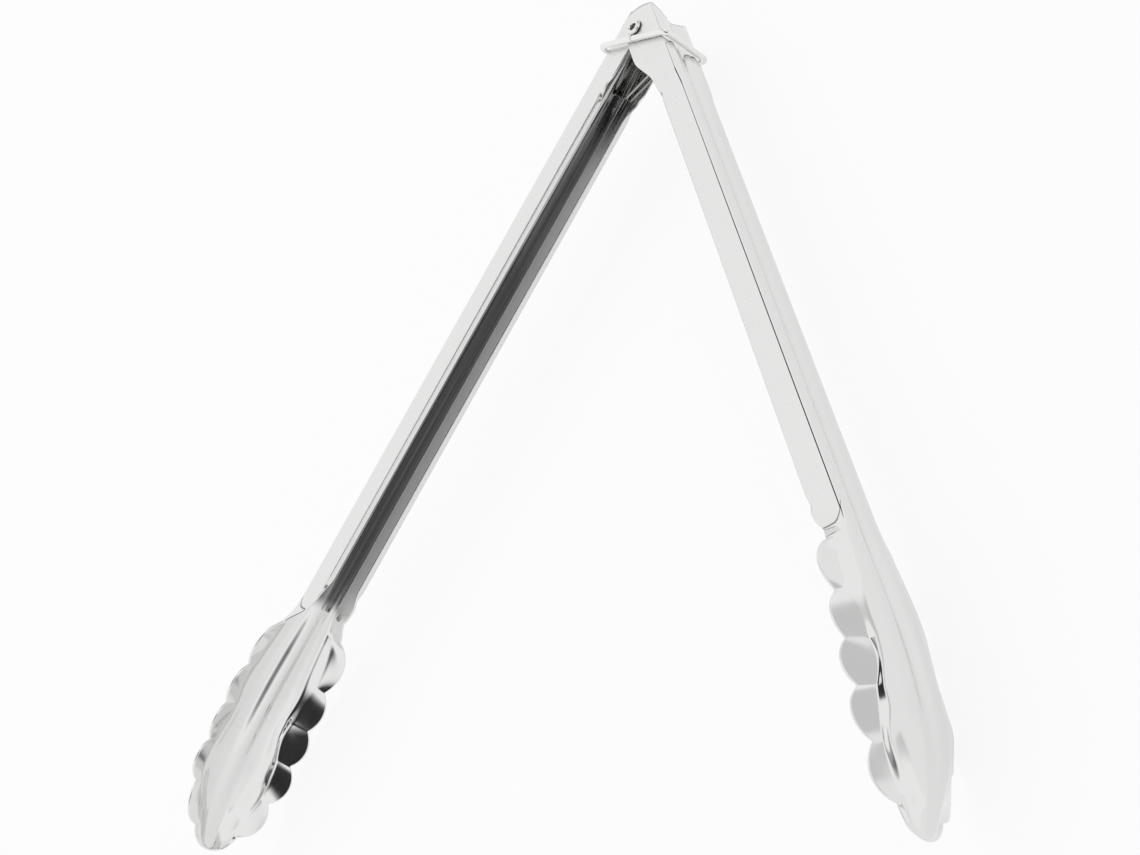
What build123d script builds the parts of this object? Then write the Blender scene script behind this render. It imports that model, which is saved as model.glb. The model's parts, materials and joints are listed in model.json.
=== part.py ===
from build123d import *
from math import acos, atan2, cos, degrees, hypot, radians, sin, sqrt
import os

# Serving tongs lying on their side, open. Two stamped sheet arms turn on one rivet whose axis
# is Z. +X is across the opening, +Y points to the riveted head, and Z = 0 is the lowest edge
# of the scalloped paddles. All lengths are in millimetres and all angles in degrees.
#
# Each arm has its own measures: "along" runs from the rivet axis to the tip, "out" points
# from the middle of the tongs through the web of the channel, and "across" is the width.

# The whole pair
arm_reach = 296.4
open_half_angle = 29.9
sheet = 0.7
overrun = 4.0

# The fluted channel that each arm is folded into
channel_width = 14.9
web_height = 8.9
flange_edge_height = 0.1
bend_radius = 1.3
flute_half_width = 3.2
flute_depth = 0.7
lip_width = 2.05
lip_turning_length = 10.0
channel_length = 196.0
flange_length = 205.0

# The head: the channel's side flanges widen into ears round the rivet, and the outer arm's
# ears stand wide enough apart to turn over the inner arm's
ear_reach = 7.3
ear_foot_reach = 5.6
ear_depth = 4.4
ear_corner = 2.5
ear_gap = 0.15
outer_ear_length = 14.5
outer_ear_taper_length = 25.2
outer_ear_taper_depth = 0.5
outer_head_length = 29.7
inner_ear_length = 1.5
inner_ear_taper_length = 4.5
inner_ear_taper_depth = 1.0
inner_ear_step_length = 16.4
inner_head_length = 19.0
web_reach = 4.2
web_notch_depth = 4.0

# The paddle: a scooped spoon with five scallops on each side and one at the tip
paddle_half_width = 19.0
tip_fall = 5.05
scallop_cup = 0.3

# Rivet
rivet_radius = 1.6
rivet_running_clearance = 0.05
rivet_end_radius = 2.35
rivet_end_height = 1.2
rivet_bore_radius = 1.1
rivet_bore_depth = 5.0
rivet_head_radius = 3.2
rivet_head_height = 1.2
rivet_head_edge = 0.5
rivet_play = 0.1

# Torsion spring
spring_wire = 1.1
spring_radius = 3.2
spring_pitch = 1.7
spring_leg_along = 19.0
spring_leg_clearance = 0.3
spring_side_clearance = 0.5

# Locking ring
ring_wire = 2.0
ring_rivet_clearance = 1.05
ring_side_clearance = 0.3
ring_corner = 2.4
ring_tilt = 8.5
ring_seat_clearance = 0.5
ring_joint_gap = 0.15

# Sizes that follow
outer_head_width = channel_width + 2 * (sheet + ear_gap)
turn = radians(open_half_angle)
paddle_length = arm_reach - flange_length
paddle_fall = web_height + tip_fall
pivot_z = paddle_half_width
tip_drop = arm_reach * cos(turn) + tip_fall * sin(turn)
head_rise = web_reach * cos(turn) + web_height * sin(turn)
pivot_y = (tip_drop - head_rise) / 2
pivot = Vector(0, pivot_y, pivot_z)

# The outline of one side of the paddle, as shares of its length (from the end of the flange)
# and of its half width. Each scallop runs from one notch over its peak to the next notch.
neck_shares = (0.149, 0.611)
peak_shares = [(0.261, 0.921), (0.406, 0.984), (0.551, 1.000), (0.701, 0.984), (0.853, 0.795)]
notch_shares = [(0.341, 0.821), (0.492, 0.874), (0.630, 0.853), (0.780, 0.758), (0.922, 0.437)]

# How far a lip is turned in where it leaves the ear, as a share of its width
lip_turning_share = 0.05

# Cross sections of the paddle, each as: share of its length, then for the ridge beside the
# middle flute, the shoulder, the foot of the wall and the rim a share of the half width and
# a share of the fall from the web to the tip, and last the depth of the flute as a share of
# its depth in the channel. Sections stand at the neck and at each scallop's peak and notch.
section_shares = [
    (0.080, (0.179, -0.004), (0.395, 0.011), (0.426, 0.122), (0.458, 0.452), 1.14),
    (0.149, (0.184, -0.014), (0.426, -0.004), (0.505, 0.115), (0.626, 0.378), 1.29),
    (0.261, (0.195, -0.036), (0.489, -0.004), (0.642, 0.143), (0.945, 0.423), 1.64),
    (0.341, (0.200, -0.043), (0.526, 0.007), (0.705, 0.208), (0.889, 0.425), 1.71),
    (0.406, (0.205, -0.043), (0.558, 0.025), (0.684, 0.186), (1.016, 0.480), 1.79),
    (0.492, (0.205, -0.022), (0.553, 0.108), (0.605, 0.222), (0.942, 0.510), 1.64),
    (0.551, (0.205, 0.007), (0.542, 0.151), (0.589, 0.237), (1.032, 0.592), 1.50),
    (0.630, (0.205, 0.065), (0.605, 0.258), (0.663, 0.330), (0.916, 0.597), 1.14),
    (0.701, (0.200, 0.136), (0.563, 0.297), (0.632, 0.516), (1.021, 0.698), 0.64),
    (0.780, (0.189, 0.244), (0.600, 0.530), (0.637, 0.588), (0.811, 0.711), 0.14),
    (0.851, (0.168, 0.401), (0.495, 0.591), (0.553, 0.695), (0.816, 0.878), 0.07),
    (0.922, (0.137, 0.602), (0.321, 0.781), (0.389, 0.846), (0.484, 0.918), 0.07),
    (1.012, (0.126, 1.004), (0.232, 1.032), (0.316, 1.068), (0.421, 1.122), 0.07),
]


def arm_direction(side):
    """The way from the rivet to the tip: side is 1 for the outer arm and -1 for the inner."""
    return Vector(side * sin(turn), -cos(turn), 0)


def out_direction(side):
    """The way out through the web of the channel."""
    return Vector(side * cos(turn), sin(turn), 0)


def cross_plane(side, along):
    """A cross section of the arm: local x is across and local y is out."""
    return Plane(pivot + arm_direction(side) * along, x_dir=(0, 0, -side), z_dir=arm_direction(side))


def flank_plane(side):
    """The arm from its side: local x is along and local y is out."""
    return Plane(pivot, x_dir=arm_direction(side), z_dir=(0, 0, side))


def back_plane(side):
    """The arm from its back: local x is along and local y is across."""
    return Plane(pivot, x_dir=arm_direction(side), z_dir=out_direction(side))


def wall_normal(start, end):
    """The unit normal of a wall that runs from start to end, on its hollow side."""
    reach = hypot(end[0] - start[0], end[1] - start[1])
    return ((end[1] - start[1]) / reach, -(end[0] - start[0]) / reach)


def mitre(first, second):
    """From a corner of the outer face to that of the inner face, for a sheet one unit thick."""
    spread = 1 + first[0] * second[0] + first[1] * second[1]
    return ((first[0] + second[0]) / spread, (first[1] + second[1]) / spread)


def shifted(point, way):
    """A point of the outer face moved through the sheet to the inner face."""
    return (point[0] + sheet * way[0], point[1] + sheet * way[1])


def mirrored(points):
    """The same points on the other side of the arm's middle plane, in reversed order."""
    return [(-across, out) for across, out in reversed(points)]


def pressed_section(plane, flute, ridge, shoulder, foot, fold, rim):
    """One closed cross section of the sheet, from the points of its outer face on one side.

    A spline runs over the flute, its ridges and the shoulders. The wall is straight from the
    shoulder to its foot, and from there over the fold to the rim.
    """
    top = wall_normal(ridge, shoulder)
    wall = wall_normal(shoulder, foot)
    rise = wall_normal(foot, fold)
    lip = wall_normal(fold, rim)
    outer_wall = [shoulder, foot, fold, rim]
    inner_wall = [
        shifted(shoulder, mitre(top, wall)),
        shifted(foot, mitre(wall, rise)),
        shifted(fold, mitre(rise, lip)),
        shifted(rim, lip),
    ]
    outer_ridge = [ridge, shoulder]
    inner_ridge = [shifted(ridge, (0, -1)), inner_wall[0]]
    with BuildSketch(plane) as section:
        with BuildLine():
            Spline(*mirrored(outer_ridge), flute, *outer_ridge)
            Polyline(*outer_wall)
            Line(rim, inner_wall[-1])
            Polyline(*inner_wall)
            Spline(*mirrored(inner_ridge), shifted(flute, (0, -1)), *inner_ridge)
            Polyline(*mirrored(inner_wall))
            Line(*mirrored([rim, inner_wall[-1]]))
            Polyline(*mirrored(outer_wall))
        make_face()
    return section.sketch


def channel_section(side, along, width, edge_height, lip):
    """The cross section of the channel: a fluted web, two flanges and a lip turned in on each.

    The fold of a lip that isn't turned in yet lies higher up the flange, as the flat sheet did.
    """
    return pressed_section(
        cross_plane(side, along),
        (0, web_height - flute_depth),
        (flute_half_width, web_height),
        (width / 2 - bend_radius, web_height),
        (width / 2, web_height - bend_radius),
        (width / 2, edge_height + lip_width - lip),
        (width / 2 - lip, edge_height),
    )


def paddle_section(side, shares):
    """One cross section of the paddle from its row of shares."""
    place_share, ridge, shoulder, foot, rim, flute_share = shares
    points = [
        (across * paddle_half_width, web_height - fall * paddle_fall)
        for across, fall in (ridge, shoulder, foot, rim)
    ]
    cup = wall_normal(points[2], points[3])
    fold = (
        (points[2][0] + points[3][0]) / 2 - scallop_cup * cup[0],
        (points[2][1] + points[3][1]) / 2 - scallop_cup * cup[1],
    )
    flute = (0, points[0][1] - flute_share * flute_depth)
    plane = cross_plane(side, flange_length + place_share * paddle_length)
    return pressed_section(plane, flute, points[0], points[1], points[2], fold, points[3])


def outline_point(shares, sign):
    """A point of the paddle's outline, seen from its back."""
    return (flange_length + shares[0] * paddle_length, sign * shares[1] * paddle_half_width)


def scalloped_side(sign):
    """The scallops along one side of the paddle, each an arc from notch to notch."""
    start = outline_point(neck_shares, sign)
    for peak, notch in zip(peak_shares, notch_shares):
        ThreePointArc(start, outline_point(peak, sign), outline_point(notch, sign))
        start = outline_point(notch, sign)


def stamped_arm(side, head_width, ear_edge):
    """One arm, stamped and folded from sheet: ears, lipped channel and scalloped paddle.

    ear_edge is the free edge of an ear, from its deep part to the edge of the channel.
    """
    head_length = ear_edge[-1][0]
    lip_start = lip_turning_share * lip_width
    head_end = -ear_reach - overrun
    deep_channel = channel_section(side, head_end, head_width, -ear_depth, 0)
    lip_turning = [
        channel_section(side, head_length, head_width, flange_edge_height, lip_start),
        channel_section(
            side, head_length + lip_turning_length, channel_width, flange_edge_height, lip_width
        ),
    ]
    channel = channel_section(
        side, head_length + lip_turning_length, channel_width, flange_edge_height, lip_width
    )
    paddle_start = [
        channel_section(side, along, channel_width, flange_edge_height, lip_width)
        for along in (channel_length, flange_length)
    ]
    paddle_sections = [paddle_section(side, shares) for shares in section_shares]
    web_inside = web_height - flute_depth - sheet
    notch_half = head_width / 2 - sheet
    with BuildPart() as arm:
        # The deep channel at the head, cut to the outline of the ears
        extrude(deep_channel, amount=head_length - head_end)
        bend_top = (-web_reach, web_height - sheet)
        ear_foot = (-ear_foot_reach, -ear_depth)
        with BuildSketch(flank_plane(side)):
            with BuildLine():
                ThreePointArc(bend_top, (-ear_reach, 0), ear_foot)
                Polyline(
                    ear_foot,
                    *ear_edge,
                    (head_length, web_height + overrun),
                    (-web_reach, web_height + overrun),
                    bend_top,
                )
            make_face()
            flank = flank_plane(side)
            ear_corners = [
                vertex for vertex in vertices() if flank.to_local_coords(vertex.center()).Y < 0
            ]
            fillet(ear_corners, radius=ear_corner)
        extrude(amount=channel_width, both=True, mode=Mode.INTERSECT)
        # The concave top edge of the web, between the ears
        notch_radius = (notch_half**2 + web_notch_depth**2) / (2 * web_notch_depth)
        with BuildSketch(back_plane(side).offset(web_inside - overrun / 2)):
            with Locations((web_notch_depth - web_reach - notch_radius, 0)):
                Circle(notch_radius)
                Rectangle(3 * notch_radius, 2 * notch_half, mode=Mode.INTERSECT)
        extrude(amount=web_height, mode=Mode.SUBTRACT)
        # The rivet's hole through both ears
        with BuildSketch(Plane.XY.offset(pivot_z - channel_width)):
            with Locations((0, pivot_y)):
                Circle(rivet_radius + rivet_running_clearance)
        extrude(amount=2 * channel_width, mode=Mode.SUBTRACT)
        # The long channel and the paddle
        loft(lip_turning, ruled=True)
        extrude(channel, amount=channel_length - head_length - lip_turning_length)
        loft([*paddle_start, *paddle_sections[:2]])
        # Each scallop is pressed between two notches, and the last stretch is the tip
        for first in range(1, len(paddle_sections) - 1, 2):
            loft(paddle_sections[first : first + 3])
        loft(paddle_sections[-2:])
        # The scalloped outline, cut through the rim
        with BuildSketch(back_plane(side).offset(-paddle_half_width)):
            with BuildLine():
                scalloped_side(1)
                scalloped_side(-1)
                last_notch = notch_shares[-1]
                ThreePointArc(
                    outline_point(last_notch, 1), (arm_reach, 0), outline_point(last_notch, -1)
                )
                neck = outline_point(neck_shares, 1)
                Polyline(
                    neck,
                    (neck[0], paddle_half_width),
                    (head_end, paddle_half_width),
                    (head_end, -paddle_half_width),
                    (neck[0], -paddle_half_width),
                    outline_point(neck_shares, -1),
                )
            make_face()
        extrude(amount=2 * paddle_half_width, mode=Mode.INTERSECT)
    return arm


outer_ear_edge = [
    (outer_ear_length, -ear_depth),
    (outer_ear_taper_length, -outer_ear_taper_depth),
    (outer_head_length, flange_edge_height),
]
outer_arm = stamped_arm(1, outer_head_width, outer_ear_edge)
outer_arm.part.label = "outer_arm"

inner_ear_edge = [
    (inner_ear_length, -ear_depth),
    (inner_ear_taper_length, -inner_ear_taper_depth),
    (inner_ear_step_length, -inner_ear_taper_depth),
    (inner_head_length, flange_edge_height),
]
inner_arm = stamped_arm(-1, channel_width, inner_ear_edge)
inner_arm.part.label = "inner_arm"

# The rivet is semi-tubular: a low domed head underneath, and on top a rolled hollow end
seat = outer_head_width / 2 + rivet_play
rivet_bottom = -seat - rivet_head_height
rivet_top = seat + rivet_end_height
rim_middle = (rivet_bore_radius + rivet_end_radius) / 2
with BuildPart() as pivot_rivet:
    with BuildSketch(Plane(pivot, x_dir=(1, 0, 0), z_dir=(0, -1, 0))):
        with BuildLine():
            Line((0, rivet_bottom), (rivet_head_radius - rivet_head_edge, rivet_bottom))
            RadiusArc(
                (rivet_head_radius - rivet_head_edge, rivet_bottom),
                (rivet_head_radius, rivet_bottom + rivet_head_edge),
                -rivet_head_edge,
            )
            Polyline(
                (rivet_head_radius, rivet_bottom + rivet_head_edge),
                (rivet_head_radius, -seat),
                (rivet_radius, -seat),
                (rivet_radius, seat),
                (rivet_end_radius, seat),
            )
            ThreePointArc(
                (rivet_end_radius, seat),
                (rim_middle, rivet_top),
                (rivet_bore_radius, seat),
            )
            Polyline(
                (rivet_bore_radius, seat),
                (rivet_bore_radius, rivet_top - rivet_bore_depth),
                (0, rivet_top - rivet_bore_depth - rivet_bore_radius),
                (0, rivet_bottom),
            )
        make_face()
    revolve(axis=Axis(pivot, (0, 0, 1)))
pivot_rivet.part.label = "pivot_rivet"

# The spring is one wire: a coil round the rivet, and a leg along the inside of each web.
# Each leg leaves the coil on the straight line that touches it and ends beside its web.
leg_out = web_height - flute_depth - sheet - spring_wire / 2 - spring_leg_clearance
leg_reach = hypot(spring_leg_along, leg_out)
leg_length = sqrt(leg_reach**2 - spring_radius**2)
leg_end_angle = open_half_angle + degrees(atan2(leg_out, spring_leg_along))
touch_angle = degrees(acos(spring_radius / leg_reach))
coil_start_angle = touch_angle - leg_end_angle - 90
legs_turn = 2 * (90 + coil_start_angle)
coil_room = channel_width - 2 * (sheet + bend_radius + spring_side_clearance) - spring_wire
spring_turns = int(coil_room / spring_pitch + legs_turn / 360)
coil_turn = 360 * spring_turns - legs_turn
coil_height = spring_pitch * coil_turn / 360
coil_start = Pos(pivot - Vector(0, 0, coil_height / 2)) * Rot(Z=coil_start_angle)
coil_line = coil_start * Helix(spring_pitch, coil_height, spring_radius)
with BuildPart() as torsion_spring:
    with BuildSketch(Plane(coil_line @ 0, z_dir=coil_line % 0)):
        Circle(spring_wire / 2)
    sweep(path=coil_line, is_frenet=True)
    with BuildSketch(Plane(coil_line @ 0, z_dir=-(coil_line % 0))):
        Circle(spring_wire / 2)
    extrude(amount=leg_length)
    with BuildSketch(Plane(coil_line @ 1, z_dir=coil_line % 1)):
        Circle(spring_wire / 2)
    extrude(amount=leg_length)
torsion_spring.part.label = "torsion_spring"

# The locking ring is one wire bent to a rectangle, its ends butted in the middle of the top
# run. It hangs tilted, so its lower end is caught on the wider part of the outer arm.
tilt = radians(ring_tilt)
ring_side = outer_head_width / 2 + ring_side_clearance + ring_wire / 2
ring_drop = rivet_head_radius + ring_wire / 2 + ring_rivet_clearance
end_out = web_height + ring_wire / 2 + ring_seat_clearance
ring_reach = (end_out + ring_drop * sin(turn)) / (cos(tilt) * cos(turn))
ring_shift = ring_reach * sin(tilt) * sin(turn) / cos(turn)
ring_centre = pivot + Vector(ring_shift, -ring_drop, 0)
ring_plane = Plane(
    ring_centre, x_dir=(cos(tilt), -sin(tilt), 0), z_dir=(-sin(tilt), -cos(tilt), 0)
)
with BuildPart() as locking_ring:
    with BuildLine(ring_plane) as ring_path:
        FilletPolyline(
            (ring_joint_gap / 2, ring_side),
            (ring_reach, ring_side),
            (ring_reach, -ring_side),
            (-ring_reach, -ring_side),
            (-ring_reach, ring_side),
            (-ring_joint_gap / 2, ring_side),
            radius=ring_corner,
        )
    with BuildSketch(Plane(ring_path.line @ 0, z_dir=ring_path.line % 0)):
        Circle(ring_wire / 2)
    sweep(path=ring_path.line)
locking_ring.part.label = "locking_ring"

os.makedirs("parts", exist_ok=True)
export_step(outer_arm.part, "parts/outer_arm.step")
export_step(inner_arm.part, "parts/inner_arm.step")
export_step(pivot_rivet.part, "parts/pivot_rivet.step")
export_step(torsion_spring.part, "parts/torsion_spring.step")
export_step(locking_ring.part, "parts/locking_ring.step")
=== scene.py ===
# %% [markdown]
# # Serving tongs in bright stamped steel
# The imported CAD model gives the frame: every piece drawn here keeps its place and its size,
# and moves with one of its bodies. Lengths are in metres and the tongs lie on their side,
# so the rivet's axis is Z and the scalloped scoops lie towards -Y.

# %% The frame
import json

import bpy
import numpy as np
from mathutils import Matrix, Vector


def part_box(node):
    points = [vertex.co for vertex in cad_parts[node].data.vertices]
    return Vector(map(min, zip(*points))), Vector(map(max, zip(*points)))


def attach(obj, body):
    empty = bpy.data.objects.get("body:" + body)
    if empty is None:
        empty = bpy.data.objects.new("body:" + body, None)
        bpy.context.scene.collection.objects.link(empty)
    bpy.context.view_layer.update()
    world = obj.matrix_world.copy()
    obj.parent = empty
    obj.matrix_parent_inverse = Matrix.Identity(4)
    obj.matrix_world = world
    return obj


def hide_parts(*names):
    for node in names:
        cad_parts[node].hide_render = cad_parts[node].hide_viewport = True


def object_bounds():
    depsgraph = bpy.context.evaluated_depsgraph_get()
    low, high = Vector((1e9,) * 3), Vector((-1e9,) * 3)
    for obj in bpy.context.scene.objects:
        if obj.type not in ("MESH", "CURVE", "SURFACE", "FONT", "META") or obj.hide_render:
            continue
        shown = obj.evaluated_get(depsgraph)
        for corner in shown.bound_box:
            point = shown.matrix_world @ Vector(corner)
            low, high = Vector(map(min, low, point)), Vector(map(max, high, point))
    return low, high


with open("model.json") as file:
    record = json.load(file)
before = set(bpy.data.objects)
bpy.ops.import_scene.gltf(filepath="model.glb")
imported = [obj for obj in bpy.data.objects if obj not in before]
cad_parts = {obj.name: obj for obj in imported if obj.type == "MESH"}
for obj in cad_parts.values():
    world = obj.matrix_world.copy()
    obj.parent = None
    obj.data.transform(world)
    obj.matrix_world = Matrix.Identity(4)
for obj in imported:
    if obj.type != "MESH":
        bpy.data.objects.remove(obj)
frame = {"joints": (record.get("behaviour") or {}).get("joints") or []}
cad_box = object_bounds()

# %% [markdown]
# ## The measures of one arm
# Each arm is one stamped sheet. It is easiest to describe in its own measures: "along" runs
# from the rivet to the tip, "out" points through the back of the channel, and "across" is the
# width. One function turns these into the frame, so both arms come from the same numbers.

# %% The arm's own measures
MM = 0.001
PIVOT = np.array(frame["joints"][0]["pos_m"])
HALF_ANGLE = np.radians(29.9)
SHEET = 0.7 * MM


def in_frame(side, along, across, out):
    """Moves points from an arm's own measures into the frame. side is 1 for the outer arm
    and -1 for the inner one, which is its mirror image in the middle plane of the tongs."""
    x = side * (np.sin(HALF_ANGLE) * along + np.cos(HALF_ANGLE) * out)
    y = PIVOT[1] - np.cos(HALF_ANGLE) * along + np.sin(HALF_ANGLE) * out
    return np.stack([x, y, PIVOT[2] + across], axis=-1)


print("rivet axis at", PIVOT.round(4))

# %% [markdown]
# ## Curves that carry the shape
# A pressed sheet has two kinds of line. Some run smoothly from end to end, such as the ridges
# beside the middle flute and the crests of the back. Others have a sharp point at every notch,
# such as the edge of the scallops and the foot of the wall above them. A smooth line is a cubic
# through a few known stations. A pointed one is a row of arcs, one from each notch over the
# scallop's peak to the next.


# %% Smooth lines and arched lines
def smooth_line(at, stations, values):
    """A cubic Hermite curve: at each station its slope is that of the chord over both
    neighbours, so the curve passes through every value with no corner."""
    slopes = np.gradient(values, stations)
    cell = np.clip(np.searchsorted(stations, at, side="right") - 1, 0, len(stations) - 2)
    step = stations[cell + 1] - stations[cell]
    u = np.clip((at - stations[cell]) / step, 0, 1)
    return (
        values[cell] * (2 * u**3 - 3 * u**2 + 1)
        + slopes[cell] * step * (u**3 - 2 * u**2 + u)
        + values[cell + 1] * (3 * u**2 - 2 * u**3)
        + slopes[cell + 1] * step * (u**3 - u**2)
    )


def arched_line(at, notches, notch_values, peak_values):
    """Between two notches: the straight line that joins them, plus a parabola that brings
    the middle to the peak's value."""
    cell = np.clip(np.searchsorted(notches, at, side="right") - 1, 0, len(notches) - 2)
    u = np.clip((at - notches[cell]) / (notches[cell + 1] - notches[cell]), 0, 1)
    chord = notch_values[cell] * (1 - u) + notch_values[cell + 1] * u
    middle = (notch_values[cell] + notch_values[cell + 1]) / 2
    return chord + (peak_values[cell] - middle) * 4 * u * (1 - u)


def circle_edge(at, start, peak, end):
    """The circle through three points, as across over along. Its centre lies as far from each."""
    (x1, y1), (x2, y2), (x3, y3) = start, peak, end
    turn = 2 * (x1 * (y2 - y3) + x2 * (y3 - y1) + x3 * (y1 - y2))
    s1, s2, s3 = x1**2 + y1**2, x2**2 + y2**2, x3**2 + y3**2
    cx = (s1 * (y2 - y3) + s2 * (y3 - y1) + s3 * (y1 - y2)) / turn
    cy = (s1 * (x3 - x2) + s2 * (x1 - x3) + s3 * (x2 - x1)) / turn
    radius = np.hypot(x1 - cx, y1 - cy)
    return cy + np.sqrt(np.clip(radius**2 - (at - cx) ** 2, 0, None))


print("a half circle 2 wide is", circle_edge(1.0, (0, 0), (1, 1), (2, 0)), "high")

# %% [markdown]
# ## The sizes of the channel
# The channel is folded from flat sheet: a back with a shallow flute along it, and two flat
# sides with a narrow lip turned in at the free edge. Each flat side ends in a round line,
# where the sheet starts to open into the scoop. The outer arm's head is wider than the inner
# arm's, so that its ears lie outside the other's.

# %% The channel and the head
CHANNEL_HALF = 7.45 * MM
WEB_OUT = 8.9 * MM
EDGE_OUT = 0.1 * MM
LIP_WIDTH = 2.05 * MM
BEND = 1.3 * MM
LIP_BEND = 0.8 * MM
FLUTE_HALF = 3.2 * MM
FLUTE_DEPTH = 0.7 * MM
CHANNEL_END = 198.0 * MM
HEAD_HALF = {1: 8.3 * MM, -1: 7.45 * MM}
HEAD_END = {1: 29.7 * MM, -1: 19.0 * MM}
# Past the head the sides narrow and the lip turns in over this run
HEAD_TURNING = 8.0 * MM
# The flat side's round end, from its free edge up to the bend
END_LINE_OUT = np.array([2.4, 4.1, 5.7, 6.7, 7.9, 8.5, 8.9]) * MM
END_LINE = np.array([212.4, 212.7, 212.8, 212.2, 210.6, 209.2, 206.9]) * MM
CREASE_REACH = 0.5 * MM
print("channel", 2 * CHANNEL_HALF / MM, "mm wide and", WEB_OUT / MM, "mm high")

# %% [markdown]
# ## The stations of the scoop
# The scoop has five scallops on each side and a round one at the tip. The stations below are
# the notches between them and the peaks of their edges. At each one the section is given by
# the foot of the wall and the rim of the scallop that flares from it. The crest, where the back
# turns down into that wall, and the ridge beside the middle flute are smooth lines with
# stations of their own.

# %% The notches and the peaks
NOTCH_ALONG = np.array([218.6, 236.2, 250.0, 262.6, 276.3, 289.3]) * MM
NOTCH_EDGE = np.array([11.6, 15.6, 16.6, 16.2, 14.4, 8.3]) * MM
NOTCH_RIM_OUT = np.array([4.1, 4.1, 3.0, 1.5, -0.5, -3.4]) * MM
NOTCH_FOOT = np.array([10.2, 13.0, 11.5, 12.4, 12.2, 7.4]) * MM
NOTCH_FOOT_OUT = np.array([7.3, 6.2, 5.7, 4.2, 0.6, -2.8]) * MM
PEAK_ALONG = np.array([228.9, 242.1, 255.4, 269.1, 282.8]) * MM
PEAK_EDGE = np.array([17.5, 18.6, 18.85, 18.85, 14.8]) * MM
PEAK_RIM_OUT = np.array([3.3, 2.7, 1.0, -0.7, -3.6]) * MM
PEAK_FOOT = np.array([12.2, 13.0, 11.4, 13.4, 10.3]) * MM
PEAK_FOOT_OUT = np.array([5.9, 6.3, 5.7, 2.8, -1.1]) * MM
TIP = 295.7 * MM
TIP_RIM_OUT = -4.7 * MM
TIP_LOBE = [(NOTCH_ALONG[-1], NOTCH_EDGE[-1]), (TIP, 0.0), (NOTCH_ALONG[-1], -NOTCH_EDGE[-1])]
print("scoop", round((TIP - NOTCH_ALONG[0]) / MM, 1), "mm long and", 2 * PEAK_EDGE.max() / MM, "mm wide")

# %% The crest, the ridge, the flute and the bends
CREST_ALONG = np.array([205.0, 212.3, 218.6, 228.9, 236.2, 242.1, 250.0, 255.4, 262.6, 269.1, 276.3,
                        282.8, 289.3, 296.4]) * MM
CREST = np.array([7.5, 7.7, 8.2, 9.4, 10.2, 10.8, 10.6, 10.5, 11.8, 12.0, 11.9, 9.1, 6.2, 2.5]) * MM
CREST_OUT = np.array([8.9, 9.0, 9.1, 9.1, 8.9, 8.4, 7.6, 7.0, 5.8, 5.2, 2.2, 0.5, -2.4, -4.6]) * MM
RIDGE_ALONG = np.array([205.0, 218.6, 228.9, 242.1, 255.4, 262.6, 269.1, 276.3, 282.8, 289.3, 296.4]) * MM
RIDGE = np.array([3.3, 3.5, 3.7, 3.9, 3.9, 3.9, 3.8, 3.6, 3.2, 2.6, 1.2]) * MM
RIDGE_OUT = np.array([8.9, 9.1, 9.4, 9.5, 8.8, 8.0, 7.0, 5.5, 3.3, 0.5, -4.4]) * MM
FLUTE = np.array([0.7, 1.15, 1.4, 1.4, 1.15, 0.9, 0.6, 0.3, 0.1, 0.0, 0.0]) * MM
CUT_ALONG = np.array([205.0, 228.0, 246.0, 256.0, 290.0]) * MM
CREST_CUT = np.array([1.3, 1.6, 1.1, 0.7, 0.8]) * MM
FOOT_CUT = np.array([0.8, 0.7, 0.6, 0.5, 0.5]) * MM
print("the flute is up to", FLUTE.max() / MM, "mm deep in the scoop")

# %% [markdown]
# ## One cross-section
# A section is drawn from the middle of the back to the rim, and mirrored. The flute is a
# cosine dip that ends at the ridge. Four straight runs follow: the back to the crest, the wall
# to the foot, the blade to a fold near the edge, and a last short run to the rim. The back
# bulges a little, as drawn sheet does, and the three corners between the runs are rounded with
# quadratic curves. Every section has the same number of points, so they line up into one
# grid, and the whole arm is worked out at once.

# %% The points of one section
FLUTE_STEPS = 9
RUN_STEPS = (8, 8, 8, 5)
CORNER_STEPS = (10, 8, 5)
CREST_START = FLUTE_STEPS + RUN_STEPS[0]
BEND_END = CREST_START + CORNER_STEPS[0]
# A corner takes at most this share of the shorter run beside it
CORNER_SHARE = 0.45
BULGE_SHARE = 0.05
TINY = 1e-9


def steps(count, closed=False):
    """Fractions from 0 towards 1, with the 1 itself only where the piece ends."""
    return np.linspace(0, 1, count + 1 if closed else count, endpoint=closed)


def lerp(a, b, u):
    """The straight line from a to b, for every station at once."""
    return a[..., None] * (1 - u) + b[..., None] * u


def corner_curve(a, corner, b, u):
    """A quadratic curve that leaves a towards the corner and reaches b from it."""
    return a[..., None] * (1 - u) ** 2 + 2 * corner[..., None] * u * (1 - u) + b[..., None] * u**2


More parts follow.
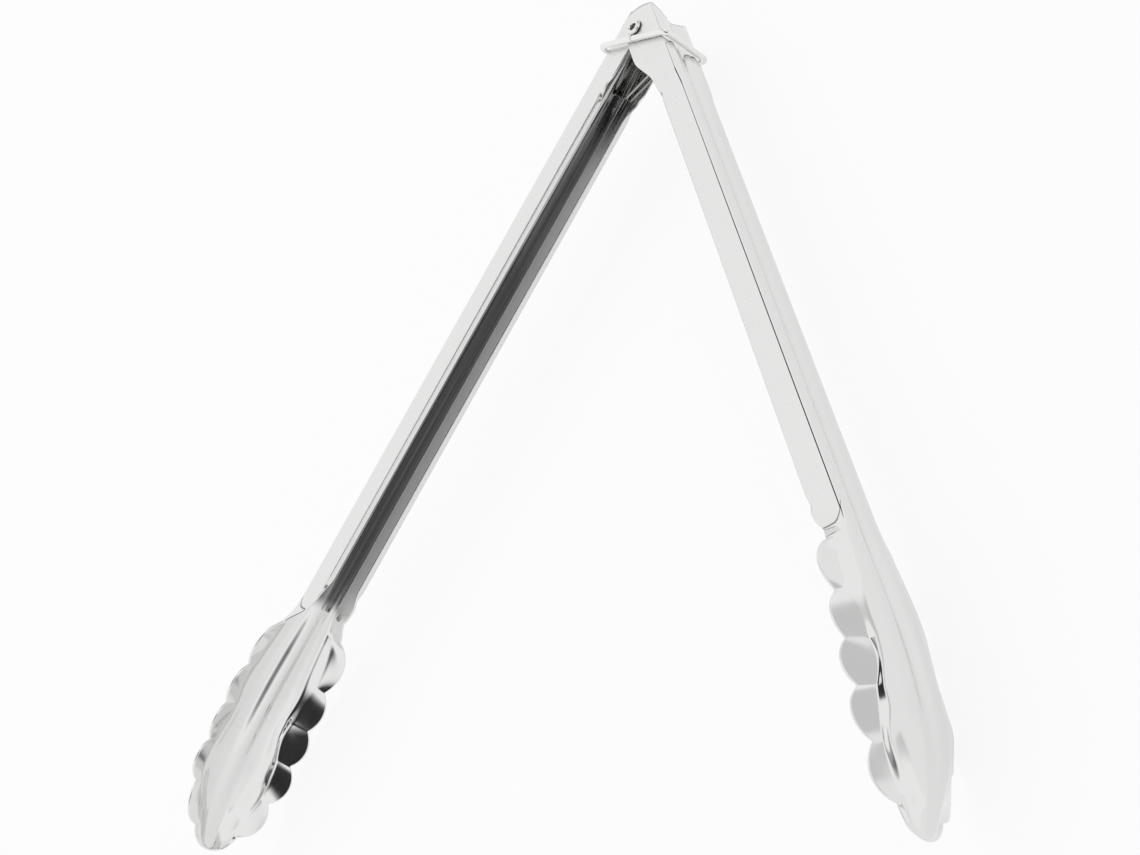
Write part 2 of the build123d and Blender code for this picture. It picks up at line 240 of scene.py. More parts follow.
def half_section(points, flute, cuts):
    """Across and out of every point from the middle of the back to the rim. The points are the
    ridge, the crest, the foot, the fold and the rim, each as an across and an out for every
    station. The cuts say how far from its corner each curve starts. The back's bulge is the
    bump 16 (v (1 - v))^2, which is level at both ends and 1 in the middle."""
    points = np.array(points)
    runs = [np.hypot(*(after - before)) for before, after in zip(points, points[1:])]
    starts, ends = [points[0]], []
    for k, cut in enumerate(cuts):
        before, corner, after = points[k:k + 3]
        held = np.minimum(cut, CORNER_SHARE * np.minimum(runs[k], runs[k + 1]))
        ends.append(corner + (before - corner) * held / np.maximum(runs[k], TINY))
        starts.append(corner + (after - corner) * held / np.maximum(runs[k + 1], TINY))
    ends.append(points[-1])
    u = steps(FLUTE_STEPS)
    ridge, ridge_out = points[0]
    dip = flute[:, None] * (1 + np.cos(np.pi * u)) / 2
    strips = [np.stack([ridge[:, None] * u, ridge_out[:, None] - dip])]
    for k, (start, end) in enumerate(zip(starts, ends)):
        last = k == len(cuts)
        strips.append(lerp(start, end, steps(RUN_STEPS[k], closed=last)))
        if not last:
            strips.append(corner_curve(end, points[k + 1], starts[k + 1], steps(CORNER_STEPS[k])))
    v = steps(RUN_STEPS[0])
    strips[1][1] += (BULGE_SHARE * runs[0])[:, None] * 16 * (v * (1 - v)) ** 2
    return np.concatenate(strips, axis=-1)


print("points in half a section:", FLUTE_STEPS + sum(RUN_STEPS) + sum(CORNER_STEPS) + 1)

# %% [markdown]
# ## The channel, the neck and the scoop as one grid
# Past the head the channel's section stays the same. Towards its end the rows bend until the
# last one lies on the round end line, the lip runs out, the free edge rises to meet the line,
# and the flat side spreads a little. Over the neck, about a centimetre, each point slides from
# its place on that line to its place at the scoop's first notch. Rows that follow the line
# give it a sharp and even crease.

# %% Channel section and scoop section
LEAST_LIP_SHARE = 0.05
SIDE_MIDDLE_OUT = 4.5 * MM
SIDE_CUT = 0.5 * MM
FOLD_SHARE = 0.65
FLATTENED_AT = 0.8


def ease(u):
    """A step from 0 to 1 that starts and ends level."""
    u = np.clip(u, 0, 1)
    return u * u * (3 - 2 * u)


def channel_half(half, lip_share):
    """The lipped channel. The share tells how far the lip is turned in: its fold starts high
    on the side, where the sheet is still flat, and comes down to the free edge."""
    one = np.ones_like(half)
    lip = LIP_WIDTH * np.maximum(lip_share, LEAST_LIP_SHARE)
    points = [
        (FLUTE_HALF * one, WEB_OUT * one),
        (half, WEB_OUT * one),
        (half, SIDE_MIDDLE_OUT * one),
        (half, EDGE_OUT + LIP_WIDTH - lip),
        (half - lip, EDGE_OUT * one),
    ]
    return half_section(points, FLUTE_DEPTH * one, [BEND * one, SIDE_CUT * one, LIP_BEND * one])


def scoop_edge(along):
    """Across of the scalloped edge: one circle for each scallop, and one for the tip."""
    edge = np.full_like(along, NOTCH_EDGE[0])
    for first, peak in enumerate(zip(PEAK_ALONG, PEAK_EDGE)):
        start = (NOTCH_ALONG[first], NOTCH_EDGE[first])
        end = (NOTCH_ALONG[first + 1], NOTCH_EDGE[first + 1])
        inside = (along >= start[0]) & (along <= end[0])
        edge = np.where(inside, circle_edge(along, start, peak, end), edge)
    return np.where(along > NOTCH_ALONG[-1], circle_edge(along, *TIP_LOBE), edge)


def scoop_half(along):
    """The scoop: its foot and its rim are arched from notch to notch, and its crest and ridge
    are smooth lines. Past the last notch all of them narrow with the edge of the tip."""
    in_scallops = along <= NOTCH_ALONG[-1]
    held = np.clip(along, NOTCH_ALONG[0], NOTCH_ALONG[-1])
    edge = scoop_edge(along)
    shrink = np.where(in_scallops, 1.0, edge / NOTCH_EDGE[-1])
    foot = arched_line(held, NOTCH_ALONG, NOTCH_FOOT, PEAK_FOOT) * shrink
    foot_out = arched_line(held, NOTCH_ALONG, NOTCH_FOOT_OUT, PEAK_FOOT_OUT)
    rim_out = arched_line(held, NOTCH_ALONG, NOTCH_RIM_OUT, PEAK_RIM_OUT)
    crest = np.where(in_scallops, smooth_line(along, CREST_ALONG, CREST), CREST[-2] * shrink)
    crest_out = smooth_line(along, CREST_ALONG, CREST_OUT)
    ridge = smooth_line(along, RIDGE_ALONG, RIDGE)
    ridge = np.where(in_scallops, ridge, np.minimum(ridge, RIDGE[-2] * shrink))
    ridge_out = smooth_line(along, RIDGE_ALONG, RIDGE_OUT)
    # Past the last notch the foot moves onto the line from the crest to the rim
    past = np.clip((along - NOTCH_ALONG[-1]) / (TIP - NOTCH_ALONG[-1]), 0, 1)
    rim_out = rim_out + (TIP_RIM_OUT - NOTCH_RIM_OUT[-1]) * past
    level = (foot - crest) / np.maximum(edge - crest, 1e-6)
    flat_out = crest_out * (1 - level) + rim_out * level
    foot_out = foot_out + (flat_out - foot_out) * ease(past / FLATTENED_AT)
    fold = foot * (1 - FOLD_SHARE) + edge * FOLD_SHARE
    fold_out = foot_out * (1 - FOLD_SHARE) + rim_out * FOLD_SHARE
    points = [(ridge, ridge_out), (crest, crest_out), (foot, foot_out), (fold, fold_out), (edge, rim_out)]
    crest_cut, foot_cut = (smooth_line(along, CUT_ALONG, cut) for cut in (CREST_CUT, FOOT_CUT))
    return half_section(points, smooth_line(along, RIDGE_ALONG, FLUTE), [crest_cut, foot_cut, foot_cut])


print("width at the third peak", round(2 * float(scoop_edge(PEAK_ALONG)[2]) / MM, 2), "mm")

# %% The end of the flat side, and the neck
LIP_OUT_FROM = 199.0 * MM
LIP_OUT_RUN = 8.0 * MM
EDGE_RISES_FROM = 203.0 * MM
RISE_POWER = 2.4
SPREAD_FROM = 201.0 * MM
SPREAD = 1.1 * MM
END_CROWDING = 1.6
NECK_CROWDING = 1.15
NECK_STEADY_SHARE = 0.65


def end_rows(count):
    """The last stretch of the flat side. Row w of 0 to 1 lies that share of the way from the
    channel's end to the end line, and the rows crowd towards the line. On the way the free
    edge rises and the side spreads."""
    w = 1 - (1 - np.linspace(0, 1, count)[1:]) ** END_CROWDING
    edge_along = CHANNEL_END + (END_LINE[0] - CHANNEL_END) * w
    lip_share = 1 - ease((edge_along - LIP_OUT_FROM) / LIP_OUT_RUN)
    across, out = channel_half(np.full_like(w, CHANNEL_HALF), lip_share)
    top = WEB_OUT - BEND
    height = top - EDGE_OUT
    rising = np.clip((edge_along - EDGE_RISES_FROM) / (END_LINE[0] - EDGE_RISES_FROM), 0, 1)
    rise = (END_LINE_OUT[0] - EDGE_OUT) * rising**RISE_POWER
    out = np.where(out < top, top - (top - out) * ((height - rise) / height)[:, None], out)
    spread = SPREAD * np.clip((edge_along - SPREAD_FROM) / (END_LINE[0] - SPREAD_FROM), 0, 1) ** 2
    across = across + spread[:, None] * np.clip((top - out) / height, 0, 1)
    reach = np.interp(out, END_LINE_OUT, END_LINE)
    reach[:, :CREST_START] = END_LINE[-1]
    return CHANNEL_END + (reach - CHANNEL_END) * w[:, None], across, out


def neck_rows(last, count):
    """From the end line to the first notch. Each point moves by a steady share and an eased
    one, and where the rows meet the scoop they already follow its crest and its ridge."""
    u = np.linspace(0, 1, count + 1)[1:-1] ** NECK_CROWDING
    target_across, target_out = scoop_half(END_LINE[-1] * (1 - u) + NOTCH_ALONG[0] * u)
    share = (NECK_STEADY_SHARE * u + (1 - NECK_STEADY_SHARE) * ease(u))[:, None]
    along = last[0] * (1 - u[:, None]) + NOTCH_ALONG[0] * u[:, None]
    across = last[1] * (1 - share) + target_across * share
    out = last[2] * (1 - share) + target_out * share
    return along, across, out


print("neck", round((NOTCH_ALONG[0] - END_LINE[-1]) / MM, 1), "mm long at the back")

# %% [markdown]
# ## The ears round the rivet
# At the head the sides of the channel widen into flat ears that carry the rivet. An ear has
# four border lines: the round end, the bend, the free edge and the first section of the
# channel. A Coons patch fills such a border: it adds the two ways to span it and takes away
# the corners, which both of them count. The back between the ears ends in a hollow curve.

# %% The head of an arm
WEB_REACH = 4.65 * MM
WEB_NOTCH = 4.5 * MM
# The ear's round end, as along and out of three points of a circle
EAR_ROUND = np.array([(-4.78, 7.6), (-7.28, 0.0), (-5.6, -4.4)]) * MM
EAR_EDGE = {1: np.array([(14.5, -4.4), (25.2, -0.5)]) * MM,
            -1: np.array([(1.5, -4.4), (4.5, -1.0), (16.4, -1.0)]) * MM}
EAR_CORNER = 2.2 * MM
ROUND_POINTS = 40
# The free edge begins at this point of the round end
EDGE_POINT = 10


def walk(points, fractions):
    """Points at the given fractions of the length of a chain of points."""
    points = np.asarray(points)
    run = np.concatenate([[0], np.cumsum(np.hypot(*np.diff(points, axis=0).T))])
    run /= run[-1]
    return np.stack([np.interp(fractions, run, line) for line in points.T], axis=-1)


def rounded_chain(points, radius_cut):
    """A chain of straight runs whose inner corners are quadratic curves."""
    chain = [points[0]]
    u = np.linspace(0, 1, 9)[:, None]
    for before, corner, after in zip(points[:-2], points[1:-1], points[2:]):
        p, c, q = map(np.asarray, (before, corner, after))
        a = c + (p - c) * min(radius_cut / np.linalg.norm(p - c), 0.49)
        b = c + (q - c) * min(radius_cut / np.linalg.norm(q - c), 0.49)
        chain += list(a * (1 - u) ** 2 + 2 * c * u * (1 - u) + b * u**2)
    return np.array(chain + [points[-1]])


def head_rows(side, across, out, rows):
    """Along and out of the head's grid, whose last row is the channel's first section. The
    patch is (1 - b) start + b end + (1 - a) free edge + a bend, less its four corners."""
    end = HEAD_END[side]
    bend_out = out[BEND_END]
    u = np.linspace(0, 1, rows)
    # The back starts at a concave edge between the ears
    top = -WEB_REACH + WEB_NOTCH * (1 - (across / across[BEND_END]) ** 2)
    along = top[None, :] * (1 - u[:, None]) + end * u[:, None]
    height = np.repeat(out[None, :], rows, axis=0)
    heights = np.linspace(EAR_ROUND[2, 1], bend_out, ROUND_POINTS)
    reach = -circle_edge(heights, *(point[::-1] * (1, -1) for point in EAR_ROUND))
    arc = np.stack([reach, heights], axis=-1)[EDGE_POINT:]
    free = rounded_chain([arc[0], EAR_ROUND[2], *EAR_EDGE[side], (end, out[-1])], EAR_CORNER)
    q = np.clip((out[BEND_END:] - out[-1]) / (bend_out - out[-1]), 0, 1)
    round_end = walk(arc, q)
    free_edge = walk(free, u)
    bend_line = np.stack([-WEB_REACH * (1 - u) + end * u, np.full(rows, bend_out)], axis=-1)
    last = np.stack([np.full_like(q, end), out[-1] + q * (bend_out - out[-1])], axis=-1)
    a, b = q[None, :, None], u[:, None, None]
    patch = (1 - b) * round_end[None] + b * last[None] + (1 - a) * free_edge[:, None] + a * bend_line[:, None]
    corners = ((1 - a) * (1 - b) * arc[0] + a * (1 - b) * bend_line[0] + (1 - a) * b * free_edge[-1]
               + a * b * bend_line[-1])
    along[:, BEND_END:], height[:, BEND_END:] = np.moveaxis(patch - corners, -1, 0)
    return along, height


print("ears reach", round(-EAR_ROUND[1, 0] / MM, 2), "mm past the rivet")

# %% The whole outer face of an arm
ROWS = {"head": 30, "turning": 16, "channel": 30, "end": 26, "neck": 30, "scallop": 34, "tip": 26}
TIP_TURN = 0.965
CREASE_START = CREST_START + 3


def body_rows(side):
    """Along, across and out from the end of the head to the tip, for half the width, and the
    end line. Near the tip the rows are spaced by a sine, so they crowd where it is round."""
    turning = np.linspace(0, 1, ROWS["turning"])
    straight = np.linspace(HEAD_END[side] + HEAD_TURNING, CHANNEL_END, ROWS["channel"])[1:]
    channel_along = np.concatenate([HEAD_END[side] + HEAD_TURNING * turning, straight])
    turned_in = ease(np.concatenate([turning, np.ones_like(straight)]))
    half = HEAD_HALF[side] * (1 - turned_in) + CHANNEL_HALF * turned_in
    channel = channel_half(half, turned_in)
    columns = channel.shape[-1]
    end = end_rows(ROWS["end"])
    neck = neck_rows([grid[-1] for grid in end], ROWS["neck"])
    # The row on a notch ends one scallop and isn't repeated in the next
    scallops = [
        np.linspace(NOTCH_ALONG[k], NOTCH_ALONG[k + 1], ROWS["scallop"])[min(k, 1):]
        for k in range(len(PEAK_ALONG))
    ]
    tip_turn = np.linspace(0, TIP_TURN, ROWS["tip"])[1:]
    tip = NOTCH_ALONG[-1] + (TIP - NOTCH_ALONG[-1]) * np.sin(tip_turn * np.pi / 2)
    scoop_along = np.concatenate([*scallops, tip])
    stretches = [
        (np.repeat(channel_along[:, None], columns, axis=1), *channel),
        end,
        neck,
        (np.repeat(scoop_along[:, None], columns, axis=1), *scoop_half(scoop_along)),
    ]
    return [np.vstack(grids) for grids in zip(*stretches)], end[0][-1]


def arm_grid(side):
    """The outer face as grids of along, across and out, mirrored to both sides of its middle,
    with two marks. flat_side is 1 on the flat side and fades to 0 at the end line. crease is 1
    on that line and fades to 0 within its reach, and has no part on the back; it carries the
    painted shade along the crease."""
    (along, across, out), end_line = body_rows(side)
    before_line = (end_line - along) / CREASE_REACH
    crease = np.clip(1 - np.abs(before_line), 0, 1)
    crease[:, :CREASE_START] = 0.0
    head_along, head_out = head_rows(side, across[0], out[0], ROWS["head"])
    head_along, head_out = head_along[:-1], head_out[:-1]
    grids = {
        "along": np.vstack([head_along, along]),
        "across": np.vstack([np.repeat(across[:1], len(head_along), axis=0), across]),
        "out": np.vstack([head_out, out]),
        "flat_side": np.vstack([np.ones_like(head_out), np.clip(before_line, 0, 1)]),
        "crease": np.vstack([np.zeros_like(head_out), crease]),
    }
    mirrored = {name: grid[:, :0:-1] for name, grid in grids.items()}
    mirrored["across"] = -mirrored["across"]
    return {name: np.hstack([mirrored[name], grid]) for name, grid in grids.items()}


print("an arm's grid is", arm_grid(1)["along"].shape)

# %% [markdown]
# ## From a face to a sheet
# The grid is the outer face. The inner face lies one sheet thickness below it along the
# normals, and a half-round strip joins the two along every edge, as on blanked and tumbled
# sheet, so the edge catches a thin line of light.

# %% Sheet metal from a grid
EDGE_TURN = np.radians([35, 90, 145])
EDGE_REACH = 0.25 * SHEET


def unit(vectors):
    """The same directions with a length of 1."""
    return vectors / np.maximum(np.linalg.norm(vectors, axis=-1, keepdims=True), 1e-12)


def grid_normals(points):
    """Unit normals of a grid: the cross product of its two directions at each point."""
    return unit(np.cross(np.gradient(points, axis=0), np.gradient(points, axis=1)))


def in_scene(name, data):
    """A new object that shows the data."""
    made = bpy.data.objects.new(name, data)
    bpy.context.collection.objects.link(made)
    return made


def mesh_from_loops(name, loops):
    """A closed skin from loops of points: quads join each loop to the next, and fans of
    quads close the first and the last one across their width."""
    rows, count = loops.shape[:2]
    index = np.arange(rows * count).reshape(rows, count)
    nxt = np.roll(index, -1, axis=1)
    quads = np.stack([index[:-1], index[1:], nxt[1:], nxt[:-1]], axis=-1).reshape(-1, 4)
    near = np.arange(count // 2 - 1)
    far = count - 1 - near
    first = np.stack([index[0][near], index[0][near + 1], index[0][far - 1], index[0][far]], axis=-1)
    last = np.stack([index[-1][near], index[-1][far], index[-1][far - 1], index[-1][near + 1]], axis=-1)
    faces = np.vstack([quads, first, last])
    mesh = bpy.data.meshes.new(name)
    mesh.from_pydata(loops.reshape(-1, 3).tolist(), [], faces.tolist())
    mesh.polygons.foreach_set("use_smooth", np.ones(len(faces), bool))
    mesh.validate()
    return in_scene(name, mesh)


def round_edge(outer, inner, column, neighbour):
    """The strip along one edge: half a turn round the middle of the sheet's thickness."""
    middle = (outer[:, column] + inner[:, column]) / 2
    lift = (outer[:, column] - inner[:, column]) / 2
    away = unit(outer[:, column] - outer[:, neighbour])
    return np.stack([middle + lift * np.cos(t) + away * EDGE_REACH * np.sin(t) for t in EDGE_TURN], axis=1)


def on_loop(outer, right, inner, left):
    """A value for every point of the loops: outer face, right edge, inner face, left edge."""
    right, left = (np.repeat(edge, len(EDGE_TURN), axis=1) for edge in (right, left))
    return np.concatenate([outer, right, inner[:, ::-1], left], axis=1)


def sheet_piece(name, side):
    """One arm as a closed sheet. Its measures and its marks are kept as attributes, with one
    more, inside, which is 0 on the outer face, 1 on the inner one and half at the edges."""
    grids = arm_grid(side)
    along, across, out = (grids[measure] for measure in ("along", "across", "out"))
    outer = in_frame(side, along, across, out)
    normal = grid_normals(outer) * -side
    outward = in_frame(side, along, across, out + MM) - outer
    if np.sum(normal * outward) < 0:
        normal = -normal
    inner = outer - SHEET * normal
    right = round_edge(outer, inner, -1, -2)
    left = round_edge(outer, inner, 0, 1)[:, ::-1]
    piece = mesh_from_loops(name, np.concatenate([outer, right, inner[:, ::-1], left], axis=1))
    values = {label: on_loop(grid, grid[:, -1:], grid, grid[:, :1]) for label, grid in grids.items()}
    none = np.zeros_like(along)
    values["crease"] = on_loop(grids["crease"], none[:, :1], none, none[:, :1])
    values["inside"] = on_loop(none, none[:, :1] + 0.5, none + 1, none[:, :1] + 0.5)
    for label, value in values.items():
        layer = piece.data.attributes.new(label, "FLOAT", "POINT")
        layer.data.foreach_set("value", value.ravel().astype(np.float32))
    print(name, "has", len(piece.data.vertices), "points")
    return piece


# %% Both arms
outer_sheet = sheet_piece("outer_arm_sheet", 1)
inner_sheet = sheet_piece("inner_arm_sheet", -1)
for sheet, arm in ((outer_sheet, "outer_arm"), (inner_sheet, "inner_arm")):
    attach(sheet, arm)
    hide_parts(arm)
    print(sheet.name, "rides on", arm)

# %% [markdown]
# ## Round wire
# The ring and the spring are drawn wire. A tube is a circle carried along a path: at every
# point of the path two directions square to it hold the circle.

# %% Tubes of wire
# A wire's end circles and how far the last one stands out, as shares of its radius
END_WIDTH_SHARES = (0.55, 0.9)
END_REACH_SHARE = 0.12


def tube(name, path, radius, sides=20):
    """A circle of the given radius carried along a path. Each circle's first direction is the
    one before it, made square to the path again, so the circles don't twist."""
    tangent = unit(np.gradient(path, axis=0))
    helper = np.where(np.abs(tangent[:, 2:3]) > 0.9, [[1.0, 0.0, 0.0]], [[0.0, 0.0, 1.0]])
    first = unit(np.cross(tangent, helper))
    for k in range(1, len(first)):
        first[k] = unit(first[k - 1] - tangent[k] * np.dot(first[k - 1], tangent[k]))
    second = np.cross(tangent, first)
    smallest, smaller = (share * radius for share in END_WIDTH_SHARES)
    size = np.concatenate([[smallest, smaller], np.full(len(path), radius), [smaller, smallest]])
    nib = END_REACH_SHARE * radius
    start, end = tangent[0] * nib, tangent[-1] * nib
    centre = np.vstack([path[0] - start, path[0] - start / 2, path, path[-1] + end / 2, path[-1] + end])
    first, second = (np.vstack([d[:1], d[:1], d, d[-1:], d[-1:]]) for d in (first, second))
    turn = np.linspace(0, 2 * np.pi, sides, endpoint=False)[None, :, None]
    circles = first[:, None] * np.cos(turn) + second[:, None] * np.sin(turn)
    return mesh_from_loops(name, centre[:, None] + size[:, None, None] * circles)


print("a wire's last circle is", END_WIDTH_SHARES[0], "of its radius")

# %% [markdown]
# ## The locking ring
# One wire bent to a rectangle, with its two ends butted on the upper run. It hangs tilted on
# the head, its lower end caught under the outer arm's back.

# %% The locking ring
RING_WIRE = 1.0 * MM
RING_TILT = np.radians(8.5)
RING_CORNER = 2.4 * MM
JOINT_HALF = 0.1 * MM
ring_low, ring_high = np.array(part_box("locking_ring"))
ring_middle = (ring_low + ring_high) / 2
ring_reach = ((ring_high - ring_low)[0] / 2 - RING_WIRE) / np.cos(RING_TILT)
ring_side = (ring_high - ring_low)[2] / 2 - RING_WIRE


def ring_path():
    """The rectangle with round corners, walked from the joint round to the joint."""
    quarter = np.linspace(0, np.pi / 2, 10)
    u = np.linspace(0, 1, 14)[1:-1]
    x, z = ring_reach - RING_CORNER, ring_side - RING_CORNER

    def arc(cx, cz, start):
        turn = start - quarter
        return list(zip(cx + RING_CORNER * np.cos(turn), cz + RING_CORNER * np.sin(turn)))

    points = [(JOINT_HALF + (x - JOINT_HALF) * k, ring_side) for k in [0, *u]]
    points += arc(x, z, np.pi / 2)
    points += [(ring_reach, z - 2 * z * k) for k in u]
    points += arc(x, -z, 0)
    points += [(x - 2 * x * k, -ring_side) for k in u]
    points += arc(-x, -z, -np.pi / 2)
    points += [(-ring_reach, 2 * z * k - z) for k in u]
    points += arc(-x, z, np.pi)
    points += [((x - JOINT_HALF) * k - x, ring_side) for k in [*u, 1]]
    run, height = np.array(points).T
    return ring_middle + np.stack([run * np.cos(RING_TILT), -run * np.sin(RING_TILT), height], axis=-1)


ring = tube("locking_ring_wire", ring_path(), RING_WIRE, 28)
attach(ring, "locking_ring")
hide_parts("locking_ring")
print("ring wire", 2 * RING_WIRE / MM, "mm, inside width", round(2 * (ring_side - RING_WIRE) / MM, 2), "mm")

# %% [markdown]
# ## The rivet
# A semi-tubular rivet: a low domed head below, a shank through both ears, and on top the
# hollow end rolled over the ear. It is a profile turned about the rivet's axis.

# %% The rivet
RIVET_END_HEIGHT = 1.2 * MM
RIVET_HEAD_RADIUS = 3.2 * MM
DOME_HEIGHT = 0.85 * MM
SHANK_RADIUS = 1.6 * MM
# The rolled end is part of an ellipse about a point over the ear
ROLL_RADIUS = 1.98 * MM
ROLL_HEIGHT = 0.55 * MM
ROLL_HALF_WIDTH = 0.84 * MM
ROLL_HALF_HEIGHT = 0.62 * MM
BORE_RADIUS = 1.1 * MM
BORE_MOUTH_DEPTH = 1.5 * MM
BORE_FLOOR_RADIUS = 0.95 * MM
BORE_DEPTH = 4.6 * MM
BORE_POINT_DEPTH = 4.9 * MM
POLE_RADIUS = 0.02 * MM
SHANK_OVERLAP = 0.02 * MM
rivet_low, rivet_high = np.array(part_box("pivot_rivet"))


def turned(name, profile, centre, sides=72):
    """A profile of (radius, height) points turned about Z through the centre."""
    radius, height = profile[:, :1], profile[:, 1:]
    turn = np.linspace(0, 2 * np.pi, sides, endpoint=False)[None]
    rings = np.stack([centre[0] + radius * np.cos(turn), centre[1] + radius * np.sin(turn),
                      np.repeat(height, sides, axis=1)], axis=-1)
    return mesh_from_loops(name, rings)


def rivet_profile():
    """Dome, head edge, shank, rolled end and its bore, from the bottom to the floor of the bore."""
    low, high = rivet_low[2], rivet_high[2]
    seat_low, seat_high = low + RIVET_END_HEIGHT, high - RIVET_END_HEIGHT
    u = np.linspace(0, 1, 14) * np.pi / 2
    dome = np.stack([RIVET_HEAD_RADIUS * np.sin(u), low + DOME_HEIGHT * (1 - np.cos(u))], axis=-1)
    dome[0, 0] = POLE_RADIUS
    shank = [(RIVET_HEAD_RADIUS, seat_low), (SHANK_RADIUS, seat_low),
             (SHANK_RADIUS, seat_high + SHANK_OVERLAP)]
    turn = np.linspace(-0.25 * np.pi, np.pi, 18)
    roll = np.stack([ROLL_RADIUS + ROLL_HALF_WIDTH * np.cos(turn),
                     seat_high + ROLL_HEIGHT + ROLL_HALF_HEIGHT * np.sin(turn)], axis=-1)
    bore = [(BORE_RADIUS, seat_high - BORE_MOUTH_DEPTH), (BORE_FLOOR_RADIUS, high - BORE_DEPTH),
            (POLE_RADIUS, high - BORE_POINT_DEPTH)]
    return np.vstack([dome, shank, roll, bore])


rivet = turned("pivot_rivet_turned", rivet_profile(), PIVOT)
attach(rivet, "pivot")
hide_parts("pivot_rivet")
print("rivet", round((rivet_high - rivet_low)[2] / MM, 2), "mm long")

# %% [markdown]
# ## The spring
# A torsion spring sits round the rivet inside the head and pushes the arms apart. Its coil
# stays with the rivet, and each leg lies along the inside of its arm's back and moves with
# that arm, so the spring is made as three pieces. A leg leaves the coil along its tangent, after
# a short hook that follows the coil, so it stays in touch with the coil as it swings.

# %% The spring's coil and legs
SPRING_WIRE = 0.55 * MM
SPRING_RADIUS = 3.2 * MM
SPRING_TURNS = 5
LEG_ALONG = 19.0 * MM
LEG_GAP = 0.3 * MM
# The coil is a little thinner than the legs, so that their hooks cover its ends
COIL_WIRE_SHARE = 0.97
HOOK_SHARE = 0.03
spring_low, spring_high = np.array(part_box("torsion_spring"))
coil_half = (spring_high - spring_low)[2] / 2 - SPRING_WIRE
leg_out = WEB_OUT - FLUTE_DEPTH - SHEET - SPRING_WIRE - LEG_GAP
leg_reach = np.hypot(LEG_ALONG, leg_out)
leg_run = np.sqrt(leg_reach**2 - SPRING_RADIUS**2)
end_angle = HALF_ANGLE + np.arctan2(leg_out, LEG_ALONG)
touch = np.arccos(SPRING_RADIUS / leg_reach)
coil_start = touch - end_angle - np.pi / 2
coil_turn = 2 * SPRING_TURNS * np.pi - 2 * (np.pi / 2 + coil_start)


def coil_points(first, last, count):
    """The helix between two fractions of its length."""
    u = np.linspace(first, last, count)
    angle = coil_start + coil_turn * u
    return np.stack([PIVOT[0] + SPRING_RADIUS * np.cos(angle), PIVOT[1] + SPRING_RADIUS * np.sin(angle),
                     PIVOT[2] + coil_half * (2 * u - 1)], axis=-1)


def leg_points(end, inner):
    """A hook along the coil from inside it to its end, then the straight leg."""
    hook = coil_points(inner, end, 14)
    way = unit((hook[-1] - hook[-2]) * (1, 1, 0))
    return np.vstack([hook, hook[-1] + way * np.linspace(0, leg_run, 20)[1:, None]])


coil = tube("spring_coil", coil_points(0.0, 1.0, 240), SPRING_WIRE * COIL_WIRE_SHARE, 16)
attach(coil, "pivot")
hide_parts("torsion_spring")
spring_pieces = [coil]
for name, end, inner in (("spring_leg_a", 0.0, HOOK_SHARE), ("spring_leg_b", 1.0, 1 - HOOK_SHARE)):
    points = leg_points(end, inner)
    leg = tube(name, points, SPRING_WIRE, 16)
    arm = "outer_arm" if points[-1, 0] > 0 else "inner_arm"
    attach(leg, arm)
    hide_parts("torsion_spring")
    spring_pieces.append(leg)
    print(name, "rides on", arm, "and ends at", (points[-1] / MM).round(1))

# %% [markdown]
# ## Finishes
# All pieces are stainless steel, so what differs is the finish. The outsides of the flat sides
# keep the satin of the rolled sheet, with fine scratches that run across them. The backs and
# the scoops are polished, with a faint grain along the arm. Inside the channel, the back is
# darkened with painted shade in streaks along the arm, and the lower wall is rough and less
# metallic, with its colour lifted by painted light. The wire is bright drawn. Each finish is
# made of noise stretched along one of the arm's own measures, so its lines follow the metal
# and move with it.


# %% Helpers for the materials
def node(tree, kind, inputs=(), **settings):
    """Adds a node, sets its properties, and fills its inputs with values or links."""
    made = tree.nodes.new(kind)
    for key, value in settings.items():
        setattr(made, key, value)
    for socket, value in dict(inputs).items():
        if isinstance(value, bpy.types.NodeSocket):
            tree.links.new(value, made.inputs[socket])
        else:
            made.inputs[socket].default_value = value
    return made


def new_finish(name, colour, roughness):
    """A bright metal with its uniform values set on the shader itself."""
    finish = bpy.data.materials.new(name)
    finish.use_nodes = True
    shader = finish.node_tree.nodes["Principled BSDF"]
    shader.inputs["Base Color"].default_value = (*colour, 1)
    shader.inputs["Metallic"].default_value = 1.0
    shader.inputs["Roughness"].default_value = roughness
    return finish, finish.node_tree, shader


def attribute(tree, name):
    """A measure or a mark of the sheet, from its mesh."""
    return node(tree, "ShaderNodeAttribute", attribute_name=name).outputs["Fac"]


def stretched_noise(tree, vector, stretch, detail=4.0, rough=0.6):
    """Noise on a stretched vector: long along the axes with small numbers."""
    scaled = node(tree, "ShaderNodeVectorMath", {0: vector, 1: stretch}, operation="MULTIPLY")
    made = node(tree, "ShaderNodeTexNoise",
                {"Vector": scaled.outputs[0], "Scale": 1.0, "Detail": detail, "Roughness": rough})
    return made.outputs["Fac"]


def ranged(tree, value, low, high, to_low, to_high, smooth=False):
    """Moves a value from one range to another and holds it there."""
    made = node(tree, "ShaderNodeMapRange",
                {"Value": value, "From Min": low, "From Max": high, "To Min": to_low, "To Max": to_high},
                interpolation_type="SMOOTHSTEP" if smooth else "LINEAR")
    return made.outputs["Result"]


def arithmetic(tree, operation, a, b):
    """One sum, difference, product or the like of two values."""
    return node(tree, "ShaderNodeMath", {0: a, 1: b}, operation=operation).outputs[0]


def product(tree, first, *others):
    """The product of two or more values."""
    for other in others:
        first = arithmetic(tree, "MULTIPLY", first, other)
    return first


def blended(tree, share, a, b, kind="FLOAT"):
    """From a, where the share is 0, to b, where it is 1."""
    return node(tree, "ShaderNodeMix", {"Factor": share, "A": a, "B": b}, data_type=kind).outputs["Result"]


